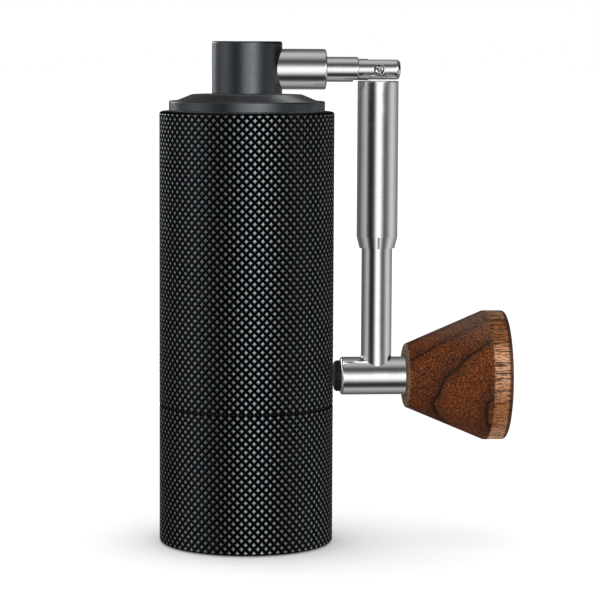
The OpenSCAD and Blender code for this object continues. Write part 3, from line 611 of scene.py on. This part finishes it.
def make_pin(head, shadow):
    """The hinge pin across the clevis: two peened heads, each sunk in a dark ring that is painted shade in
    the second finish.
    """
    bm = bmesh.new()
    seat = PIN_END - PIN_SUNK
    floor = seat - PIN_FLOOR
    outline = [(0.0, PIN_END)] + [(radius, PIN_END) for radius in PIN_DENTS_R]
    outline += [(PIN_HEAD_R, PIN_END - PIN_HEAD_DROP), (PIN_HEAD_R, seat)]
    # Rows from here take the second finish, as painted shade in the sunk ring
    first_dark = len(outline) - 1
    outline += [(PIN_RING_R, seat), (PIN_RING_R, floor), (0.0, floor)]
    for side in (-1, 1):
        rows = []
        for k, (radius, reach) in enumerate(outline):
            row = []
            for i in range(PIN_SIDES):
                angle = math.tau * (i + 0.5 * (k % 2)) / PIN_SIDES
                dented = PIN_DENT * math.sin(5.3 * i * i + 2.9 * k + side) if radius in PIN_DENTS_R else 0.0
                place = (radius * math.cos(angle), side * (reach + dented), radius * math.sin(angle))
                row.append(bm.verts.new(place))
            rows.append(row)
        for k, (inner, outer) in enumerate(zip(rows, rows[1:])):
            for i in range(PIN_SIDES):
                n = (i + 1) % PIN_SIDES
                for corners in ((inner[i], inner[n], outer[i]), (inner[n], outer[n], outer[i])):
                    bm.faces.new(corners).material_index = 1 if k >= first_dark else 0
    bmesh.ops.remove_doubles(bm, verts=bm.verts[:], dist=1e-4)
    bmesh.ops.dissolve_degenerate(bm, edges=bm.edges[:], dist=1e-5)
    bmesh.ops.translate(bm, vec=PIN_PLACE, verts=bm.verts[:])
    piece = finish_mesh(bm, "peened_pin", head)
    piece.data.materials.append(shadow)
    return piece


def add_piece(piece, body, node):
    """Sets a piece on its body, in the place of its CAD node."""
    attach(piece, body)
    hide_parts(node)


# Only these pieces show in the gloss of others
IN_REFLECTIONS = ("arm_root", "arm_rod", "cross_tube", "lock_sleeve")


def hide_from_gloss():
    """Leaves only the steel tubes in reflections; the studio's cards stand in front of the rest."""
    for piece in bpy.data.objects:
        if piece.name not in IN_REFLECTIONS:
            piece.visible_glossy = False


# Stage


def add_camera():
    """The camera at the photograph's viewing angle."""
    turn, tilt = math.radians(CAMERA_TURN), math.radians(CAMERA_TILT)
    forward = Vector((math.sin(turn) * math.cos(tilt), math.cos(turn) * math.cos(tilt), -math.sin(tilt)))
    data = bpy.data.cameras.new("camera")
    data.lens = CAMERA_LENS
    data.sensor_width = SENSOR_WIDTH
    data.clip_start = 0.05
    data.clip_end = 50.0
    camera = bpy.data.objects.new("camera", data)
    camera.location = CAMERA_PLACE
    roll = Quaternion((0, 0, 1), math.radians(CAMERA_ROLL))
    camera.rotation_euler = (forward.to_track_quat("-Z", "Y") @ roll).to_euler()
    bpy.context.scene.collection.objects.link(camera)
    bpy.context.scene.camera = camera


FLOOR_HALF = 12.0
FLOOR_GLOW = 0.17
# Painted contact shadow: the floor's colour by how open it is within this reach
SHADE_REACH = 0.03
SHADES = [(0.45, 0.66), (0.8, 0.88), (1.0, 0.94)]


def add_floor():
    """A plain pale floor that keeps the soft shadow; its colour darkens close to the foot by ambient
    occlusion, a painted contact shadow.
    """
    bm = bmesh.new()
    bmesh.ops.create_grid(bm, x_segments=8, y_segments=8, size=FLOOR_HALF)
    mesh = bpy.data.meshes.new("floor")
    bm.to_mesh(mesh)
    bm.free()
    floor = bpy.data.objects.new("floor", mesh)
    bpy.context.scene.collection.objects.link(floor)
    material = bpy.data.materials.new("floor")
    tree = Tree(material)
    painted_shadow_ao = tree.add("ShaderNodeAmbientOcclusion", {"Distance": SHADE_REACH}).outputs["AO"]
    diffuse = tree.add("ShaderNodeBsdfDiffuse", {"Color": tree.ramp(painted_shadow_ao, SHADES)})
    glow = tree.add("ShaderNodeEmission", {"Color": as_colour(1.0), "Strength": FLOOR_GLOW})
    both = tree.add("ShaderNodeAddShader", {0: diffuse.outputs[0], 1: glow.outputs[0]})
    ray = tree.add("ShaderNodeLightPath").outputs["Is Camera Ray"]
    pick = tree.add("ShaderNodeMixShader", {0: ray, 1: diffuse.outputs[0], 2: both.outputs[0]})
    output = tree.add("ShaderNodeOutputMaterial")
    tree.links.new(pick.outputs[0], output.inputs["Surface"])
    mesh.materials.append(material)
    floor.visible_glossy = False


# Levels of the studio's gloss by the turn from the lens in degrees, to the right where positive
SOFT_CARDS = [
    (-180, 0.12), (-150, 0.12), (-125, 0.2), (-105, 0.4), (-80, 0.75), (-62, 0.62), (-42, 0.28),
    (-28, 0.15), (-12, 0.5), (0, 1.9), (8, 3.6), (20, 3.6), (34, 1.5), (50, 0.3), (66, 0.0),
    (78, 0.0), (150, 0.0), (180, 0.12),
]
# The strip that upright tubes and the sleeve's taper reflect
LEVEL_STRIP = [
    (-180, 0.2), (-148, 0.13), (-119, 0.09), (-100, 0.22), (-84, 0.37), (-69, 0.42), (-56, 0.09),
    (-44, 0.02), (-32, 0.02), (-20, 0.13), (-9, 0.72), (0, 1.1), (14, 1.15), (25, 0.5), (37, 0.12),
    (49, 0.12), (62, 0.27), (75, 0.52), (90, 0.61), (108, 0.43), (130, 0.23), (150, 0.2), (180, 0.2),
]
# The strip that tubes along X reflect, by the rise from the lens in degrees
UPRIGHT_STRIP = [
    (-180, 0.2), (-150, 0.1), (-128, 0.1), (-108, 0.24), (-92, 0.38), (-79, 0.4), (-67, 0.1),
    (-57, 0.03), (-46, 0.03), (-36, 0.12), (-25, 0.55), (-12, 1.0), (0, 1.1), (11, 0.9), (24, 0.3),
    (38, 0.08), (52, 0.1), (72, 0.38), (90, 0.5), (110, 0.35), (132, 0.14), (160, 0.1), (180, 0.1),
]
# Where the cards and strips lie, as parts of a unit direction: middle, half width, fade
CARD_BAND = (-0.07, 0.35, 0.3)
LEVEL_BAND = (-0.07, 0.06, 0.03)
TAPER_BAND = (-0.36, 0.19, 0.04)
UPRIGHT_BAND = (0.14, 0.09, 0.03)
# Soft lights beside them: turn, rise and reach in degrees, and level
RIM_LIGHT = (-138, 10, 18, 3.0)
OVERHEAD_LIGHT = (0, 90, 18, 3.0)
EMPTY_LEVEL = 0.10
TOP_LEVEL = 4.0
WORLD_GLOSS = 1.25
WORLD_SOFT = 1.0


def add_world():
    """The studio: white to the camera, soft and even on the object, cards and flags in its gloss."""
    world = bpy.data.worlds.new("studio")
    bpy.context.scene.world = world
    tree = Tree(world)
    paths = tree.add("ShaderNodeLightPath")
    light = studio_light(tree)
    gloss = tree.add("ShaderNodeBackground", {"Color": light, "Strength": WORLD_GLOSS * TOP_LEVEL})
    soft = tree.add("ShaderNodeBackground", {"Color": as_colour(1.0), "Strength": WORLD_SOFT})
    white = tree.add("ShaderNodeBackground", {"Color": as_colour(1.0), "Strength": 1.0})
    diffuse, camera = paths.outputs["Is Diffuse Ray"], paths.outputs["Is Camera Ray"]
    lit = tree.add("ShaderNodeMixShader", {0: diffuse, 1: gloss.outputs[0], 2: soft.outputs[0]})
    seen = tree.add("ShaderNodeMixShader", {0: camera, 1: lit.outputs[0], 2: white.outputs[0]})
    output = tree.add("ShaderNodeOutputWorld")
    tree.links.new(seen.outputs[0], output.inputs["Surface"])


def studio_light(tree):
    """What the gloss of the object shows, as a share of the top level, by direction."""
    turn = math.radians(CAMERA_TURN)
    to_lens = Vector((-math.sin(turn), -math.cos(turn), 0.0))
    right = Vector((math.cos(turn), -math.sin(turn), 0.0))
    up = Vector((0.0, 0.0, 1.0))
    direction = tree.add("ShaderNodeTexCoord").outputs["Generated"]

    def along(axis):
        node = tree.add("ShaderNodeVectorMath", {0: direction, 1: axis}, operation="DOT_PRODUCT")
        return node.outputs["Value"]

    def by_angle(opposite, adjacent, stops):
        share = tree.math("DIVIDE", tree.math("ARCTAN2", opposite, adjacent), math.tau)
        levels = [(angle / 360 + 0.5, level / TOP_LEVEL) for angle, level in stops]
        return tree.ramp(tree.math("ADD", share, 0.5), levels)

    def near(value, middle, half, fade):
        off = tree.math("ABSOLUTE", tree.math("SUBTRACT", value, middle))
        return tree.fit(off, half, half + fade, 1.0, 0.0)

    def glow(turn_off, rise, reach, level):
        turned, risen = math.radians(turn_off), math.radians(rise)
        level_place = to_lens * math.cos(turned) + right * math.sin(turned)
        place = level_place * math.cos(risen) + up * math.sin(risen)
        return tree.fit(along(place), math.cos(math.radians(reach)), 1.0, 0.0, level / TOP_LEVEL)

    forwards, sideways, upwards = along(to_lens), along(right), along(up)
    cards = by_angle(sideways, forwards, SOFT_CARDS)
    light = tree.mix(near(upwards, *CARD_BAND), EMPTY_LEVEL / TOP_LEVEL, cards)
    for spot in (RIM_LIGHT, OVERHEAD_LIGHT):
        light = tree.mix(1.0, light, glow(*spot), "ADD")
    level = by_angle(sideways, forwards, LEVEL_STRIP)
    upright = by_angle(upwards, forwards, UPRIGHT_STRIP)
    light = tree.mix(near(upwards, *LEVEL_BAND), light, level)
    light = tree.mix(near(upwards, *TAPER_BAND), light, level)
    return tree.mix(near(sideways, *UPRIGHT_BAND), light, upright)


def build():
    """The stage, then every finish and the pieces that take the place of CAD nodes."""
    add_camera()
    add_floor()
    add_world()
    finishes = make_finishes()
    dress_nodes(finishes)
    add_piece(make_barrel(finishes["knurled_black"]), "barrel", "outer_shell")
    add_piece(make_cup(finishes["knurled_black"]), "cup", "grounds_cup")
    # The pin's sunk rings take the black rubber finish as painted shade
    pin = make_pin(finishes["polished_steel"], finishes["black_rubber"])
    add_piece(pin, "crank", "hinge_pin")
    hide_from_gloss()
    bpy.context.scene.view_settings.view_transform = "Standard"


build()
